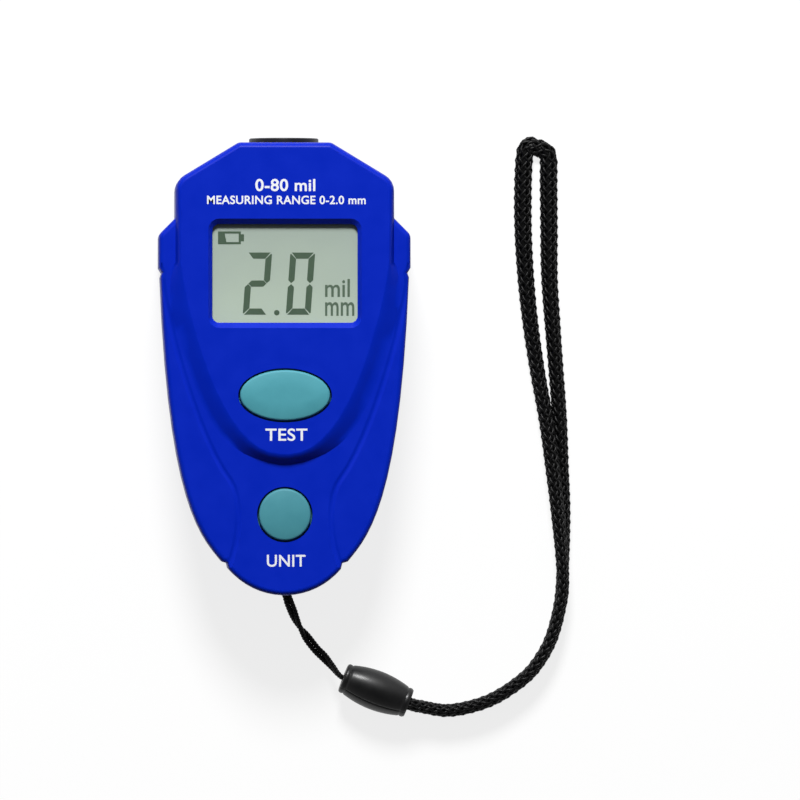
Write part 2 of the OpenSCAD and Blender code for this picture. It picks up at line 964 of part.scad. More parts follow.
module cross_screw(p, d, hd, hh, seat, len) {
    difference() {
        union() {
            post(p, hd, seat - hh, seat);
            post(p, d, seat - 0.2, seat + len);
        }
        translate([p[0], p[1], seat - hh])
            for (a = [0, 90])
                rotate(a)
                    cube([hd * 0.6, hd * 0.16, hh], center = true);
    }
}

module case_screws() {
    color("gray")
    for (p = fixes)
        cross_screw(p, screw_d, head_d, head_h, head_seat, screw_len);
}

module board_screws() {
    color("gray")
    for (p = board_fixes)
        cross_screw(p, board_screw_d, 3.4, 1, board_z, board_t + 3);
}

// Lanyard

// Points of the thin pair: x, y below the tip, z, and how far the pair has twisted there
pair = [
    [0.8, 0, 4.65, 0], [1.3, 1.6, 4.3, 0], [2.2, 3.9, 3.4, 10], [3, 5.8, 2.7, 50], [4, 7.7, 2.1, 90],
    [4.9, 9, 1.7, 130], [5.8, 10.3, 1.4, 170], [7.6, 12.6, 1.3, 180], [9.4, 14.4, 2, 197],
    [11.2, 16.5, 3.2, 243]
];
pair_last = len(pair) - 1;
pair_half = cord_d / 2 + 0.08;

function pair_at(i, s) =
    let (
        p = pair[i],
        g = pair[min(i + 1, pair_last)] - pair[max(i - 1, 0)],
        w = [g[1], g[0]] / norm([g[0], g[1]]),
        across = s * pair_half * cos(p[3])
    )
    [p[0] + across * w[0], tip_y - p[1] + across * w[1], p[2] + s * pair_half * sin(p[3])];

function in_bead(u, z) =
    [bead_c[0] + u * cos(bead_turn), bead_c[1] + u * sin(bead_turn), bead_c[2] + z];

module lanyard_loop() {
    r = post_d / 2 + cord_d / 2 + touch;
    z = slot_z + slot_h / 2;
    color("black")
    tube(concat(
        through(concat(
            [in_bead(3.5 - bead_len / 2, -pair_half), in_bead(-bead_len / 2 - 0.4, -pair_half)],
            [for (i = [pair_last:-1:0]) pair_at(i, 1)],
            [[r, post_y - 0.6, z]]
        ), 3),
        [for (i = [0:8]) let (a = 22.5 * i) [r * cos(a), post_y + r * sin(a), z]],
        through(concat(
            [[-r, post_y - 0.6, z]],
            [for (i = [0:pair_last]) pair_at(i, -1)],
            [in_bead(-bead_len / 2 - 0.4, pair_half), in_bead(3.5 - bead_len / 2, pair_half)]
        ), 3)
    ), cord_d, 8);
}

// Half of the bead on one side of its seam
module bead_half(s) {
    h = bead_len / 2;
    r = bead_d / 2;
    lip = [[r - 1.18, 1.2], [r - 1.05, 0.85], [r - 1.08, 0.4], [r - 1.3, 0.1]];
    translate(bead_c)
        rotate([0, 0, bead_turn])
            rotate([seam_turn, 0, 0])
                difference() {
                    rotate([0, 90, 0])
                        rotate_extrude()
                            polygon(concat(
                                [[1.35, -h], [r - 1.7, -h]],
                                [for (i = [3:-1:0]) [lip[i][0], lip[i][1] - h]],
                                [for (i = [0:12]) let (t = -1 + i / 6) [r - 0.95 * t * t, t * (h - 1.5)]],
                                [for (p = lip) [p[0], h - p[1]]],
                                [[r - 1.34, h], [3.1, h], [3.1, h - 5], [1.35, h - 5]]
                            ));
                    translate([-bead_len, -bead_d, s > 0 ? -bead_d : 0])
                        cube([2 * bead_len, 2 * bead_d, bead_d]);
                }
}

module bead_upper() {
    color("black")
    bead_half(1);
}

module bead_lower() {
    color("black")
    bead_half(-1);
}

// Points of the strap: x and y below the tip, with its height
strap_z = strap_d / 2;
strap_out = [
    [31.5, -25.6], [37.1, -26.5], [42.9, -25.6], [48.3, -23.6], [53.7, -20.1], [57.3, -16.6],
    [60.7, -10.9], [62.8, -3.7], [63.6, 3.5]
];
strap_right = [
    [63.9, 17.9], [63.4, 28.7], [63, 39.5], [62.2, 50.3], [61.4, 61.1], [60.7, 71.9], [60.6, 82.7],
    [60.5, 93.5]
];
strap_tip = [[60.4, 98], [59.6, 100.1], [58.4, 101.5], [56.8, 101.8], [55.3, 100.8], [54.9, 98.6]];
strap_left = [
    [54.7, 93.5], [54.7, 82.7], [55.3, 71.9], [56.4, 61.1], [58, 50.3], [59.9, 39.5], [61.3, 28.7],
    [62.5, 17.9]
];
left_rise = [0, 0, 0, 0, 0.1, 0.9, 2.2, 2.8];

function laid(p, z) = [p[0], tip_y + p[1], z];
function lift(i) = i == 0 ? 0.4 : 0;

module lanyard_strap() {
    color("black")
    tube(through(concat(
        [in_bead(bead_len / 2 - 3, -strap_z), in_bead(bead_len / 2 + 0.6, -strap_z)],
        [for (i = [0:8]) laid(strap_out[i], strap_z + 0.05 + lift(i))],
        [for (p = strap_right) laid(p, strap_z + 0.05)],
        [for (p = strap_tip) laid(p, strap_z + 0.05)],
        [for (i = [0:7]) laid(strap_left[i], strap_z + 0.05 + left_rise[i] * strap_d / 3)],
        [for (i = [8:-1:0]) laid(strap_out[i], 3 * strap_z + 0.15 + lift(i))],
        [in_bead(bead_len / 2 + 0.6, strap_z), in_bead(bead_len / 2 - 3, strap_z)]
    ), 2), strap_d, 8);
}

front_cover();
rear_cover();
battery_door();
display_window();
lcd_panel();
lcd_holder();
zebra_strips();
circuit_board();
controller_chip();
amplifier_chip();
smoothing_capacitor();
crystal_can();
test_key();
test_switch();
test_plunger();
unit_key();
unit_switch();
unit_plunger();
probe_sleeve();
probe_core();
probe_bobbin();
probe_coil();
probe_leads();
cell_left();
cell_right();
cell_bridge();
positive_contact();
negative_contact();
cell_spring_left();
cell_spring_right();
case_screws();
board_screws();
lanyard_loop();
bead_upper();
bead_lower();
lanyard_strap();
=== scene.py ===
"""Looks of a pocket coating thickness gauge with its wrist lanyard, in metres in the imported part's frame."""

import math

import bmesh
import bpy
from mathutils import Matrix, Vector


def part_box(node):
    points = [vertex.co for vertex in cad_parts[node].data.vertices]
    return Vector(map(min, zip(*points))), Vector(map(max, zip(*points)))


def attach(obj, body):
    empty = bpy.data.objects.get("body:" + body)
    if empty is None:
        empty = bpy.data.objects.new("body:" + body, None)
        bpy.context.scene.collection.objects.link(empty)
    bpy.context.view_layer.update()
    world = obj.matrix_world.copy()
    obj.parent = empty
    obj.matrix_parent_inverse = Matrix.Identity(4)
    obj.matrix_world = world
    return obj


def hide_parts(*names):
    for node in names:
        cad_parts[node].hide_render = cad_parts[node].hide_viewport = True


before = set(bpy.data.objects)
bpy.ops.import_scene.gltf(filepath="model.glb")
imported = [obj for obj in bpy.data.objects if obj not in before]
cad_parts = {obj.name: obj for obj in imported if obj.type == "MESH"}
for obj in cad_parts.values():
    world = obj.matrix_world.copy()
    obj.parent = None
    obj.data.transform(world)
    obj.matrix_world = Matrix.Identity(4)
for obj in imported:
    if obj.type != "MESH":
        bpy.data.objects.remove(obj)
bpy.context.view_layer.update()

MM = 0.001
scene = bpy.context.scene
scene.view_settings.view_transform = "Standard"

# Heights of the surfaces that carry print and display marks, in mm
DECK_Z = 23.0
FACE_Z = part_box("front_cover")[1].z / MM
GLASS_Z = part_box("lcd_panel")[1].z / MM

# Camera: above the face and a little to its left, far enough off to see hardly any of the sides
PICTURE_CENTRE = Vector((26.3, -7.55, 12.5))
PICTURE_WIDTH = 180.0
CAMERA_ABOVE = 2400.0
CAMERA_TURN = math.radians(2.0)

lens = bpy.data.cameras.new("camera")
lens.sensor_width = 36.0
lens.lens = lens.sensor_width * CAMERA_ABOVE / PICTURE_WIDTH
lens.clip_end = 20.0
camera = bpy.data.objects.new("camera", lens)
camera.rotation_euler.y = -CAMERA_TURN
camera.location = (PICTURE_CENTRE + (CAMERA_ABOVE + FACE_Z - PICTURE_CENTRE.z)
                   * Vector((-math.sin(CAMERA_TURN), 0, math.cos(CAMERA_TURN)))) * MM
scene.collection.objects.link(camera)
scene.camera = camera


# Materials

def linear(code):
    """An sRGB hex colour as linear RGBA."""
    parts = [int(code[i:i + 2], 16) / 255 for i in (1, 3, 5)]
    return (*(p / 12.92 if p <= 0.04045 else ((p + 0.055) / 1.055) ** 2.4 for p in parts), 1.0)


def per_mm(size):
    """Texture scale at which one feature is about this many millimetres wide."""
    return 1 / (size * MM)


def add(owner, kind, sockets=None, **settings):
    """A new node with its settings, its sockets linked or given plain values."""
    node = owner.node_tree.nodes.new("ShaderNode" + kind)
    for name, value in settings.items():
        setattr(node, name, value)
    for key, value in (sockets or {}).items():
        if isinstance(value, bpy.types.NodeSocket):
            owner.node_tree.links.new(value, node.inputs[key])
        else:
            node.inputs[key].default_value = value
    return node


def surface(name, sockets):
    """A new material with one shader, whose plain values or links are given."""
    material = bpy.data.materials.new(name)
    material.use_nodes = True
    material.node_tree.nodes.clear()
    shader = add(material, "BsdfPrincipled", sockets)
    add(material, "OutputMaterial", {"Surface": shader.outputs[0]})
    return material, shader


# Between these lie most values of a noise texture
NOISE_LOW, NOISE_HIGH = 0.25, 0.75


def moulded(name, dark, light, patch, grain, height, gloss, **plain):
    """A surface with patches of two near colours and of gloss, and a grain that stands up by height, in mm."""
    material, shader = surface(name, {key.replace("_", " "): value for key, value in plain.items()})
    place = add(material, "TexCoord").outputs["Object"]
    cloud = add(material, "TexNoise", {"Vector": place, "Scale": per_mm(patch), "Detail": 3.0})
    tone = add(material, "Mix", {0: cloud.outputs[0], 6: linear(dark), 7: linear(light)}, data_type="RGBA")
    shine = add(material, "MapRange", {
        0: cloud.outputs[0], 1: NOISE_LOW, 2: NOISE_HIGH, 3: gloss[0], 4: gloss[1]})
    fine = add(material, "TexNoise", {"Vector": place, "Scale": per_mm(grain), "Detail": 2.0})
    bump = add(material, "Bump", {"Height": fine.outputs[0], "Distance": height * MM, "Strength": 1.0})
    for key, node, output in (("Base Color", tone, 2), ("Roughness", shine, 0), ("Normal", bump, 0)):
        material.node_tree.links.new(node.outputs[output], shader.inputs[key])
    return material


# ABS, moulded in a spark-eroded tool: deep blue with a satin sheen that breaks up in a fine grain
case_abs = moulded("abs_moulded_satin_blue", "#0022B3", "#0228BF", 5.0, 0.35, 0.004, (0.38, 0.46),
                   Specular_IOR_Level=0.12)
# Silicone rubber, moulded: dull teal with a soft bloom and hardly any reflection
key_silicone = moulded("silicone_moulded_teal", "#4898A5", "#50A2AF", 3.0, 0.25, 0.005, (0.5, 0.62),
                       Specular_IOR_Level=0.3)
# The same silicone on the round key, painted a shade darker: painted shade, where the light falls off further
# from the probe end
shaded_key_silicone = moulded("silicone_moulded_teal_painted_shade", "#428A97", "#4A94A0", 3.0, 0.25, 0.005, (0.5, 0.62),
                         Specular_IOR_Level=0.3)
# ABS, moulded and tumbled bright: black with a crisp highlight and a faint orange peel
bead_abs = moulded("abs_polished_black", "#0B0B0C", "#111112", 2.0, 0.9, 0.006, (0.4, 0.48),
                   Specular_IOR_Level=0.3, Coat_Weight=0.16, Coat_Roughness=0.2)
# Acetal, turned: black and waxy, with faint tool marks
probe_acetal = moulded("acetal_turned_black", "#0B0B0C", "#121214", 2.0, 0.2, 0.004, (0.38, 0.5),
                       Specular_IOR_Level=0.4)
# ABS, moulded dark for inner frames and switches: dull, slightly mottled grey
inner_abs = moulded("abs_moulded_dark", "#1D1E20", "#27282A", 2.5, 0.3, 0.006, (0.5, 0.62))
# Epoxy, transfer moulded round a chip: black with a matte, gritty top
chip_epoxy = moulded("epoxy_moulded_black", "#0E0E0F", "#19191A", 1.2, 0.12, 0.008, (0.6, 0.75))
# Nylon, moulded undyed: ivory, slightly see-through looking
bobbin_nylon = moulded("nylon_moulded_natural", "#D9D2BC", "#E6E0CE", 3.0, 0.4, 0.004, (0.42, 0.55))
# PVC, extruded on wire: smooth red skin
lead_pvc = moulded("pvc_extruded_red", "#8E1512", "#A81C17", 1.5, 0.3, 0.003, (0.35, 0.45))
# Shrink sleeve on an aluminium can: dark blue, smooth and a little shiny
can_sleeve = moulded("pet_shrunk_blue", "#131C44", "#1A2555", 3.0, 0.6, 0.003, (0.25, 0.35))
# Ferrite, sintered and ground: dark grey with a dense metallic speckle
core_ferrite = moulded("ferrite_ground_grey", "#2C2D30", "#43454A", 0.4, 0.12, 0.004, (0.32, 0.45),
                       Metallic=0.4)
# Spring steel, nickel plated: bright, slightly warm metal
nickel = moulded("steel_nickel_plated", "#B9B6AE", "#CCC9C2", 1.5, 0.15, 0.002, (0.22, 0.34), Metallic=1.0)
# Steel, zinc plated: grey metal with a faint crystal pattern
zinc = moulded("steel_zinc_plated", "#8F9193", "#A9ABAC", 0.6, 0.15, 0.003, (0.3, 0.44), Metallic=1.0)
# Silicone in conductive and plain layers: black rubber strip
zebra_rubber = moulded("silicone_layered_black", "#151516", "#222224", 0.4, 0.1, 0.006, (0.55, 0.7))
# Ink, pad printed: white with a dry edge and a very slightly uneven film
print_ink = moulded("ink_pad_printed_white", "#E9EDF3", "#F4F6F9", 1.0, 0.12, 0.002, (0.45, 0.6),
                    Specular_IOR_Level=0.3)
# Liquid crystal, switched on behind its polariser: grey green marks with soft tone
crystal_dark = moulded("liquid_crystal_switched", "#4D6250", "#576C57", 1.5, 0.3, 0.001, (0.4, 0.5),
                       Specular_IOR_Level=0.2)
# The same, in finer lines: a paler grey green
crystal_pale = moulded("liquid_crystal_switched_fine", "#5B6F5D", "#657965", 1.5, 0.3, 0.001, (0.4, 0.5),
                       Specular_IOR_Level=0.2)
# Paper, coated white: the reflector's edge, a shade lighter than the panel
paper_pale = moulded("paper_coated_pale", "#DCE4DE", "#E6ECE6", 2.0, 0.2, 0.001, (0.5, 0.6),
                     Specular_IOR_Level=0.2)
# Polyamide, braided from dull filaments: black, with short bright strokes where a yarn turns to the light
braid_nylon = moulded("nylon_braided_black", "#010101", "#040405", 0.6, 0.14, 0.02, (0.36, 0.48),
                      Specular_IOR_Level=0.17)

# Acrylic, cast clear: nearly unseen, with a thin gloss on top
pane_acrylic = surface("acrylic_cast_clear", {
    "Base Color": linear("#3A4240"), "Roughness": 0.04, "IOR": 1.49, "Alpha": 0.05})[0]

# Liquid crystal glass with a reflector: pale grey green, a little lighter towards its lower edge and darker
# towards the frame above it, which is painted shade
lcd_glass, lcd_shader = surface("glass_reflective_polariser", {"Roughness": 0.45, "Specular IOR Level": 0.2})
lcd_place = add(lcd_glass, "TexCoord").outputs["Object"]
lcd_axes = add(lcd_glass, "SeparateXYZ", {0: lcd_place})
lcd_low, lcd_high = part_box("display_window")
# Painted shade: the panel darkens towards its upper edge, under the frame, with a faint random haze on top
lcd_shade_share = add(lcd_glass, "MapRange", {0: lcd_axes.outputs[1], 1: lcd_low.y, 2: lcd_high.y, 3: 0.0, 4: 1.0})
lcd_haze = add(lcd_glass, "TexNoise", {"Vector": lcd_place, "Scale": per_mm(7.0), "Detail": 1.0})
lcd_haze_and_shade = add(lcd_glass, "Math", {0: lcd_haze.outputs[0], 1: 0.3, 2: lcd_shade_share.outputs[0]},
                operation="MULTIPLY_ADD")
lcd_tone = add(lcd_glass, "Mix", {0: lcd_haze_and_shade.outputs[0], 6: linear("#C9DAC7"), 7: linear("#B3C2B6")},
               data_type="RGBA")
lcd_glass.node_tree.links.new(lcd_tone.outputs[2], lcd_shader.inputs["Base Color"])

# Glass laminate under green solder mask: glossy green with paler copper tracks under it, 0.9 mm apart
board_mask, board_shader = surface("laminate_solder_masked", {"Roughness": 0.3})
board_place = add(board_mask, "TexCoord").outputs["Object"]
board_tracks = add(board_mask, "TexBrick", {
    "Vector": board_place, "Scale": per_mm(1.0), "Brick Width": 7.0, "Row Height": 0.9, "Mortar Size": 0.12,
    "Color1": linear("#0C4A26"), "Color2": linear("#0E5229"), "Mortar": linear("#2B7A43")})
board_mask.node_tree.links.new(board_tracks.outputs[0], board_shader.inputs["Base Color"])

# Copper, enamelled and wound: ridges 2 pi times 0.35 mm apart, coarser than the wire so that they show
coil_copper, coil_shader = surface("copper_enamelled_wound", {
    "Base Color": linear("#B4622E"), "Metallic": 0.9, "Roughness": 0.3})
coil_place = add(coil_copper, "TexCoord").outputs["Object"]
coil_turns = add(coil_copper, "TexWave", {"Vector": coil_place, "Scale": per_mm(0.35) / 20},
                 bands_direction="Y")
coil_bump = add(coil_copper, "Bump", {"Height": coil_turns.outputs[1], "Distance": 0.08 * MM, "Strength": 1.0})
coil_copper.node_tree.links.new(coil_bump.outputs[0], coil_shader.inputs["Normal"])

# Steel can in a printed film: black sleeve, copper coloured third at the button end, bare nickel ends.
# The two cells lie head to tail, so the side they lie on says which way each one points
CELL_BAND = -8.0
CELL_SKIRT = 20.8
cell_film, cell_shader = surface("film_shrunk_on_steel", {"Roughness": 0.28})
cell_low, cell_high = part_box("cell_left")
cell_axes = add(cell_film, "SeparateXYZ", {0: add(cell_film, "TexCoord").outputs["Object"]})
cell_middle = (cell_low.y + cell_high.y) / 2
cell_along = add(cell_film, "Math", {0: cell_axes.outputs[1], 1: cell_middle}, operation="SUBTRACT")
cell_turn = add(cell_film, "Math", {0: cell_axes.outputs[0]}, operation="SIGN")
cell_way = add(cell_film, "Math", {0: cell_along.outputs[0], 1: cell_turn.outputs[0]}, operation="MULTIPLY")
cell_band = add(cell_film, "Math", {0: cell_way.outputs[0], 1: CELL_BAND * MM}, operation="LESS_THAN")
cell_reach = add(cell_film, "Math", {0: cell_along.outputs[0]}, operation="ABSOLUTE")
cell_end = add(cell_film, "Math", {0: cell_reach.outputs[0], 1: CELL_SKIRT * MM}, operation="GREATER_THAN")
cell_tone = add(cell_film, "Mix", {0: cell_band.outputs[0], 6: linear("#111214"), 7: linear("#B5763A")},
                data_type="RGBA")
cell_skin = add(cell_film, "Mix", {0: cell_end.outputs[0], 6: cell_tone.outputs[2], 7: linear("#BDBAB2")},
                data_type="RGBA")
cell_film.node_tree.links.new(cell_skin.outputs[2], cell_shader.inputs["Base Color"])
cell_film.node_tree.links.new(cell_end.outputs[0], cell_shader.inputs["Metallic"])


# Lanyard, laid on the same points as in the part's source, apart from the tip of the strap's loop, which leans
# to the left as in the photo. In mm

TIP_Y = -51.55
CORD_D = 1.0
STRAP_D = 3.0
BEAD_LEN = 16.0
BEAD_CENTRE = Vector((21.1, TIP_Y - 21.9, 4.55))
BEAD_TURN = math.radians(-21.5)
POST_Y = TIP_Y + 2.3
POST_R = 1.5
POST_RUN = 0.6
SLOT_MIDDLE = 4.75

# How deep the ends of each cord lie in the bead, how far out of it they run straight, and how much higher the
# strap lies at its first point
CORD_GRIP, CORD_CLEAR = 3.5, 0.4
STRAP_GRIP, STRAP_CLEAR = 3.0, 0.6
MOUTH_LIFT = 0.4

# Steps from point to point, half way round the post, and in one turn of a braid's yarns
CORD_STEPS, STRAP_STEPS, POST_STEPS = 6, 8, 16
LOOP_LEAD, LOOP_TURN_STEPS = 3.0, 18
STRAP_LEAD, STRAP_TURN_STEPS = 12.6, 36

# Thin pair: x, y below the tip, height, and how far the pair has twisted there, in degrees
PAIR = (
    (0.8, 0, 4.65, 0), (1.3, 1.6, 4.3, 0), (2.2, 3.9, 3.4, 10), (3, 5.8, 2.7, 50), (4, 7.7, 2.1, 90),
    (4.9, 9, 1.7, 130), (5.8, 10.3, 1.4, 170), (7.6, 12.6, 1.3, 180), (9.4, 14.4, 2, 197),
    (11.2, 16.5, 3.2, 243),
)
PAIR_GAP = 0.03
PAIR_HALF = CORD_D / 2 + PAIR_GAP

# Strap: x and y from the tip, with the rise of its second limb onto the first
STRAP_OUT = (
    (31.5, -25.6), (37.1, -26.5), (42.9, -25.6), (48.3, -23.6), (53.7, -20.1), (57.3, -16.6), (60.7, -10.9),
    (62.8, -3.7), (63.6, 3.5),
)
STRAP_RIGHT = (
    (63.9, 17.9), (63.4, 28.7), (63, 39.5), (62.2, 50.3), (61.4, 61.1), (60.7, 71.9), (60.6, 82.7),
    (60.5, 93.5),
)
STRAP_TIP = ((60.5, 98.2), (60.1, 100.1), (59, 101), (57.4, 101.4), (56, 101.8), (55.1, 99.8))
STRAP_LEFT = (
    (54.7, 93.5), (54.7, 82.7), (55.3, 71.9), (56.4, 61.1), (58, 50.3), (59.9, 39.5), (61.3, 28.7),
    (62.5, 17.9),
)
LEFT_RISE = (0, 0, 0, 0, 0.1, 0.9, 2.2, 2.8)
TABLE_GAP = 0.05
LIMB_GAP = 0.1
LOW_LIMB = STRAP_D / 2 + TABLE_GAP
HIGH_LIMB = LOW_LIMB + STRAP_D + LIMB_GAP

# Where the strap flattens: share that its width gains, and between which y
FLAT_PAST_BEAD = (0.25, -48, -20)
FLAT_IN_LOOP = (0.29, -10, 40)


def through(points, steps):
    """A smooth path through points, with this many steps from one to the next."""
    path = []
    last = len(points) - 1
    for i in range(last):
        a, b, c, d = points[max(i - 1, 0)], points[i], points[i + 1], points[min(i + 2, last)]
        for k in range(steps):
            t = k / steps
            path.append(b + (c - a) / 2 * t + (2 * a - 5 * b + 4 * c - d) / 2 * t * t
                        + (3 * b - a - 3 * c + d) / 2 * t ** 3)
    return path + [points[last]]


def spaced(path, step):
    """The same path in equal steps."""
    even = [path[0]]
    left = step
    for a, b in zip(path, path[1:]):
        length = (b - a).length
        done = 0.0
        while length - done >= left:
            done += left
            even.append(a.lerp(b, done / length))
            left = step
        left -= length - done
    return even


def pair_point(i, side):
    """A point of one cord of the thin pair."""
    x, y, z, turn = PAIR[i]
    before, after = PAIR[max(i - 1, 0)], PAIR[min(i + 1, len(PAIR) - 1)]
    run = Vector((after[0] - before[0], after[1] - before[1]))
    away = Vector((run.y, run.x)) / run.length
    across = side * PAIR_HALF * math.cos(math.radians(turn))
    upward = side * PAIR_HALF * math.sin(math.radians(turn))
    return Vector((x + across * away.x, TIP_Y - y + across * away.y, z + upward))


def in_bead(along, up):
    """A point in the bead, from its middle."""
    return BEAD_CENTRE + Vector((along * math.cos(BEAD_TURN), along * math.sin(BEAD_TURN), up))


def laid(point, height):
    """A point of the strap."""
    return Vector((point[0], TIP_Y + point[1], height))


def loop_route():
    """The thin cord: out of the bead, round the post and back."""
    mouth = (CORD_GRIP - BEAD_LEN / 2, -BEAD_LEN / 2 - CORD_CLEAR)
    rows = range(len(PAIR))
    there = [in_bead(u, -PAIR_HALF) for u in mouth]
    there += [pair_point(i, 1) for i in reversed(rows)] + [Vector((POST_R, POST_Y - POST_RUN, SLOT_MIDDLE))]
    back = [Vector((-POST_R, POST_Y - POST_RUN, SLOT_MIDDLE))] + [pair_point(i, -1) for i in rows]
    back += [in_bead(u, PAIR_HALF) for u in reversed(mouth)]
    turn = [Vector((POST_R * math.cos(a), POST_Y + POST_R * math.sin(a), SLOT_MIDDLE))
            for a in (math.pi * i / POST_STEPS for i in range(POST_STEPS + 1))]
    return through(there, CORD_STEPS) + turn + through(back, CORD_STEPS)


def strap_route():
    """The strap: out of the bead, up to the tip of the loop and back on top of itself."""
    mouth = (BEAD_LEN / 2 - STRAP_GRIP, BEAD_LEN / 2 + STRAP_CLEAR)
    lifts = [MOUTH_LIFT] + [0.0] * (len(STRAP_OUT) - 1)
    low = [laid(p, LOW_LIMB + lift) for p, lift in zip(STRAP_OUT, lifts)]
    high = [laid(p, HIGH_LIMB + lift) for p, lift in zip(STRAP_OUT, lifts)]
    points = [in_bead(u, -STRAP_D / 2) for u in mouth] + low
    points += [laid(p, LOW_LIMB) for p in STRAP_RIGHT + STRAP_TIP]
    points += [laid(p, LOW_LIMB + rise) for p, rise in zip(STRAP_LEFT, LEFT_RISE)]
    points += high[::-1] + [in_bead(u, STRAP_D / 2) for u in reversed(mouth)]
    return through(points, STRAP_STEPS)


def eased(value, low, high):
    """0 below low, 1 above high, and a smooth step between."""
    t = min(max((value - low) / (high - low), 0.0), 1.0)
    return t * t * (3 - 2 * t)


def strap_width(point):
    """How much wider than round the strap lies: round at the bead, flat at the tip of its loop."""
    return 1.0 + sum(gain * eased(point.y, low, high) for gain, low, high in (FLAT_PAST_BEAD, FLAT_IN_LOOP))


def braid(name, path, lead, yarns, radius, weave, yarn, core, width):
    """A braid of yarns wound both ways round a core along a path, each over and under the other set, in mm.

    lead is the length of one turn, radius that of the yarns' middles and weave their play in and out. yarn and
    core are radii, and width says how far the braid is flattened at a point.
    """
    curve = bpy.data.curves.new(name, "CURVE")
    curve.dimensions = "3D"
    curve.bevel_depth = yarn * MM
    curve.bevel_resolution = 1
    curve.use_fill_caps = True
    step = (path[1] - path[0]).length
    stations = []
    for i, point in enumerate(path):
        run = (path[min(i + 1, len(path) - 1)] - path[max(i - 1, 0)]).normalized()
        side = run.cross(Vector((0, 0, 1))).normalized()
        wide = width(point)
        middle = Vector((point.x, point.y, point.z / wide))
        stations.append((middle, side * wide, side.cross(run) / wide, math.tau * i * step / lead))
    lines = [[s[0] for s in stations]]
    for way in (1, -1):
        for k in range(yarns):
            line = []
            for middle, side, up, phase in stations:
                angle = way * phase + math.tau * k / yarns
                reach = radius + way * weave * math.cos(yarns * angle)
                line.append(middle + reach * (math.cos(angle) * side + math.sin(angle) * up))
            lines.append(line)
    for n, line in enumerate(lines):
        spline = curve.splines.new("POLY")
        spline.points.add(len(line) - 1)
        for place, point in zip(spline.points, line):
            place.co = (*(point * MM), 1)
            place.radius = core / yarn if n == 0 else 1
    holder = bpy.data.objects.new(name, curve)
    scene.collection.objects.link(holder)
    mesh = bpy.data.meshes.new_from_object(holder)
    bpy.data.objects.remove(holder)
    mesh.name = name
    mesh.materials.clear()
    mesh.materials.append(braid_nylon)
    piece = bpy.data.objects.new(name, mesh)
    scene.collection.objects.link(piece)
    return piece, [s[0] * MM for s in stations]


# Mouldings: corners nearer than WELD metres are joined, facets flatter than FLAT are merged, and edges sharper
# than SHARP are broken
WELD = 1e-6
FLAT = math.radians(0.4)
SHARP = math.radians(35)
EDGE_SEGMENTS = 2
FACE_WEIGHT = 60
# How near to a joint's plane its edges are, and how far the normal of a wall beside it may lean to the plane's
ON_PLANE = 0.01
UPRIGHT = 0.5
# Joints between two mouldings: a point and the normal of the joint's plane, how far its outer edges are broken,
# and out to which distance from the point, which leaves out the thin lips of the bead. In mm
COVER_JOINT = (Vector((0, 0, 12.5)), Vector((0, 0, 1)), 0.28, 100.0)
BEAD_SEAM = math.radians(-48)
BEAD_ACROSS = Vector((math.sin(BEAD_TURN), -math.cos(BEAD_TURN), 0))
BEAD_JOINT = (BEAD_CENTRE, BEAD_ACROSS * math.sin(BEAD_SEAM) + Vector((0, 0, math.cos(BEAD_SEAM))), 0.22, 7.4)


def parting_edges(shape, point, normal, reach):
    """The outer edges of a moulding along its joint plane."""
    outer = []
    for edge in shape.edges:
        if any(abs((v.co / MM - point).dot(normal)) > ON_PLANE for v in edge.verts):
            continue
        away = (edge.verts[0].co + edge.verts[1].co) / 2 / MM - point
        walls = [f for f in edge.link_faces if abs(f.normal.dot(normal)) < UPRIGHT]
        if len(walls) == 1 and walls[0].normal.dot(away) > 0 and away.length < reach:
            outer.append(edge)
    return outer


def dressed(node, name, material, body, edge, joint=None):
    """A CAD node's own shape, smooth, with its edges broken and those of its joint broken by more.

    edge is the most that an edge is broken by, in mm. Where facets are fine, it comes out far narrower.
    """
    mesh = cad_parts[node].data.copy()
    mesh.name = name
    for spare in [a.name for a in mesh.attributes if a.name == "custom_normal"]:
        mesh.attributes.remove(mesh.attributes[spare])
    piece = bpy.data.objects.new(name, mesh)
    scene.collection.objects.link(piece)
    shape = bmesh.new()
    shape.from_mesh(mesh)
    bmesh.ops.remove_doubles(shape, verts=shape.verts, dist=WELD)
    bmesh.ops.dissolve_limit(shape, angle_limit=FLAT, verts=shape.verts, edges=shape.edges)
    if joint:
        point, normal, broken, reach = joint
        edges = parting_edges(shape, point, normal, reach)
        bmesh.ops.bevel(shape, geom=edges, offset=broken * MM, offset_type="OFFSET",
                        segments=EDGE_SEGMENTS, profile=0.5, affect="EDGES", clamp_overlap=False, material=-1)
    for face in shape.faces:
        face.smooth = True
    shape.to_mesh(mesh)
    shape.free()
    mesh.materials.clear()
    mesh.materials.append(material)
    bevel = piece.modifiers.new("broken_edges", "BEVEL")
    bevel.width = edge * MM
    bevel.segments = EDGE_SEGMENTS
    bevel.limit_method = "ANGLE"
    bevel.angle_limit = SHARP
    bevel.miter_outer = "MITER_ARC"
    weigh = piece.modifiers.new("flat_faces_lead", "WEIGHTED_NORMAL")
    weigh.keep_sharp = True
    weigh.weight = FACE_WEIGHT
    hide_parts(node)
    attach(piece, body)
    return piece


# Cords and the two halves of the bead

